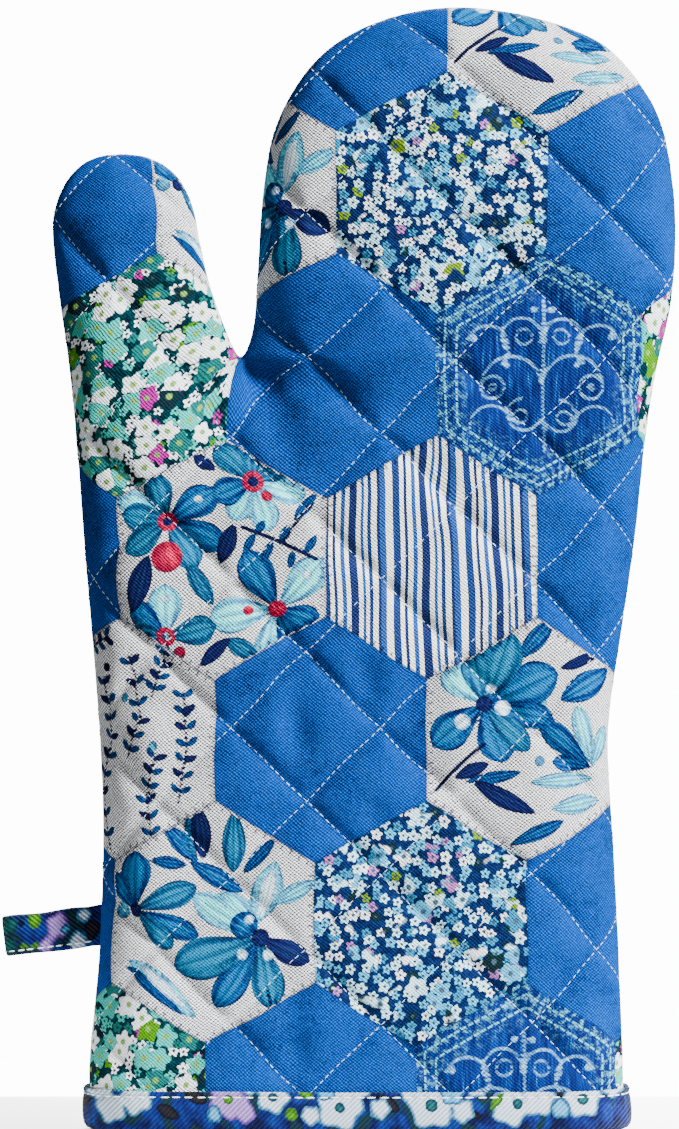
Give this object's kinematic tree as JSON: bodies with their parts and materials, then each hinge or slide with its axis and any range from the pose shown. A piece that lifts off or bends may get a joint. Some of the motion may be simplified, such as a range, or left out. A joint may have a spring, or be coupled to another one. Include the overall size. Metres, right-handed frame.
{
  "type": "oven mitt",
  "caption": "Upright quilted oven mitt with a thumb pocket, a bound cuff and a side hanging loop; fingers, thumb and loop bend where the padded cloth folds.",
  "frame": {"origin": "centre of the overall box in plan, on the hem of the cuff, which is what the mitt stands on", "axes": "+Z from the cuff to the fingertips, -Y towards the front, and the thumb and the hanging loop on the -X side"},
  "size_m": [0.1986, 0.0544, 0.3299],
  "materials": {
    "printed_canvas": "matt printed cotton canvas, quilted, with a patchwork print",
    "wadding": "soft white polyester wadding",
    "lining_cotton": "matt unbleached cotton",
    "quilting_thread": "white polyester thread",
    "overlock_thread": "white overlock thread over raw cloth edges",
    "binding_tape": "matt cotton bias binding with a floral print",
    "loop_tape": "matt cotton tape with a floral print",
    "topstitch_thread": "white cotton thread"
  },
  "bodies": {
    "hand": {"front_cover_hand": "printed_canvas", "front_padding_hand": "wadding", "front_lining_hand": "lining_cotton", "front_quilting_hand": "quilting_thread", "back_cover_hand": "printed_canvas", "back_padding_hand": "wadding", "back_lining_hand": "lining_cotton", "back_quilting_hand": "quilting_thread", "overlocked_seam_hand": "overlock_thread", "cuff_binding": "binding_tape", "binding_topstitch": "topstitch_thread", "loop_sewn_ends": "loop_tape"},
    "fingers": {"front_cover_fingers": "printed_canvas", "front_padding_fingers": "wadding", "front_lining_fingers": "lining_cotton", "front_quilting_fingers": "quilting_thread", "back_cover_fingers": "printed_canvas", "back_padding_fingers": "wadding", "back_lining_fingers": "lining_cotton", "back_quilting_fingers": "quilting_thread", "overlocked_seam_fingers": "overlock_thread"},
    "thumb": {"front_cover_thumb": "printed_canvas", "front_padding_thumb": "wadding", "front_lining_thumb": "lining_cotton", "front_quilting_thumb": "quilting_thread", "back_cover_thumb": "printed_canvas", "back_padding_thumb": "wadding", "back_lining_thumb": "lining_cotton", "back_quilting_thumb": "quilting_thread", "overlocked_seam_thumb": "overlock_thread"},
    "loop": {"hanging_loop": "loop_tape", "loop_edge_stitch": "topstitch_thread"}
  },
  "joints": [
    {"name": "finger_fold", "type": "hinge", "parent": "hand", "child": "fingers", "pos_m": [0.0383, -0.0198, 0.252], "axis": [1, 0, 0], "range_deg": [0, 50]},
    {"name": "thumb_fold", "type": "hinge", "parent": "hand", "child": "thumb", "pos_m": [-0.0337, -0.0183, 0.237], "axis": [0.5769, 0, 0.8168], "range_deg": [0, 40]},
    {"name": "loop_swing", "type": "hinge", "parent": "hand", "child": "loop", "pos_m": [-0.073, 0, 0.059], "axis": [-0.1219, 0, 0.9925], "range_deg": [-75, 75]}
  ]
}
